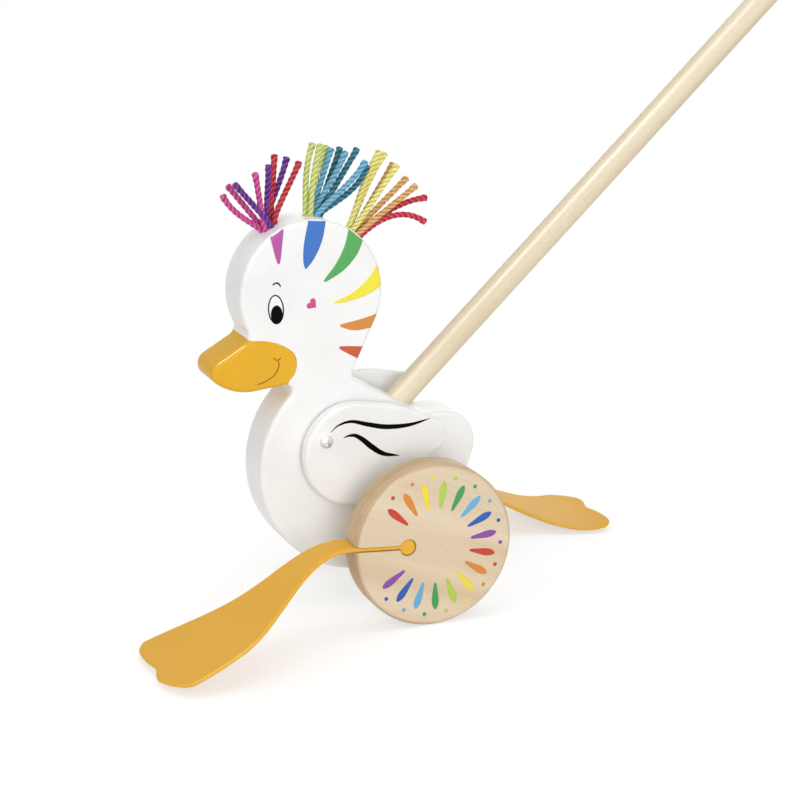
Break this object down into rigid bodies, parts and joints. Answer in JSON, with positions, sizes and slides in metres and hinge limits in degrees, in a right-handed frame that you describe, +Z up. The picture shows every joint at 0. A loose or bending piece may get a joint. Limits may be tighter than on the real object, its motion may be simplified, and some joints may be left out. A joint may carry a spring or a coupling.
{
  "type": "push-along duck toy",
  "caption": "Wooden push toy shaped as a duck, with wheels that swing soft paddle feet round, pivoting wings, yarn hair and a long push stick.",
  "frame": {"origin": "on the floor, straight below the middle of the axle", "axes": "+X forward, +Y to the duck's left, +Z up"},
  "size_m": [0.4858, 0.185, 0.4239],
  "materials": {
    "white_paint": "satin paint on wood",
    "beech": "natural, lightly oiled",
    "foot_rubber": "satin",
    "screw_steel": "polished",
    "insert_brass": "plain",
    "washer_nylon": "matte",
    "hair_front_pink": "twisted yarn",
    "hair_front_purple": "twisted yarn",
    "hair_front_red": "twisted yarn",
    "hair_middle_lime": "twisted yarn",
    "hair_middle_blue": "twisted yarn",
    "hair_middle_teal": "twisted yarn",
    "hair_rear_yellow": "twisted yarn",
    "hair_rear_orange": "twisted yarn",
    "hair_rear_red": "twisted yarn"
  },
  "bodies": {
    "duck": {"body": "white_paint", "stick": "beech", "stick_stud": "screw_steel", "stick_insert": "insert_brass", "wing_washer_left": "washer_nylon", "wing_washer_right": "washer_nylon", "wing_screw_left": "screw_steel", "wing_screw_right": "screw_steel", "hair_front_pink": "hair_front_pink", "hair_front_purple": "hair_front_purple", "hair_front_red": "hair_front_red", "hair_middle_lime": "hair_middle_lime", "hair_middle_blue": "hair_middle_blue", "hair_middle_teal": "hair_middle_teal", "hair_rear_yellow": "hair_rear_yellow", "hair_rear_orange": "hair_rear_orange", "hair_rear_red": "hair_rear_red"},
    "wheel_set": {"axle": "beech", "axle_spacer_left": "beech", "axle_spacer_right": "beech", "wheel_left": "beech", "wheel_right": "beech", "foot_left_bead": "foot_rubber", "foot_right_bead": "foot_rubber"},
    "left_wing": {"wing_left": "white_paint"},
    "right_wing": {"wing_right": "white_paint"},
    "left_foot": {"foot_left": "foot_rubber"},
    "right_foot": {"foot_right": "foot_rubber"}
  },
  "joints": [
    {"name": "wheel_spin", "type": "hinge", "parent": "duck", "child": "wheel_set", "pos_m": [0, 0, 0.038], "axis": [0, 1, 0], "continuous": true},
    {"name": "wing_left_swing", "type": "hinge", "parent": "duck", "child": "left_wing", "pos_m": [0.04, 0.0167, 0.0827], "axis": [0, 1, 0], "range_deg": [-31, 300]},
    {"name": "wing_right_swing", "type": "hinge", "parent": "duck", "child": "right_wing", "pos_m": [0.04, -0.0167, 0.0827], "axis": [0, 1, 0], "range_deg": [-47, 284]},
    {"name": "foot_left_flex", "type": "hinge", "parent": "wheel_set", "child": "left_foot", "pos_m": [0.03911, 0.04445, 0.04073], "axis": [0, 1, 0], "range_deg": [-75, 50], "stiffness_Nm_per_rad": 0.08, "springref_deg": -2.86},
    {"name": "foot_right_flex", "type": "hinge", "parent": "wheel_set", "child": "right_foot", "pos_m": [-0.03911, -0.04445, 0.03527], "axis": [0, -1, 0], "range_deg": [-75, 50], "stiffness_Nm_per_rad": 0.08, "springref_deg": -2.86}
  ]
}
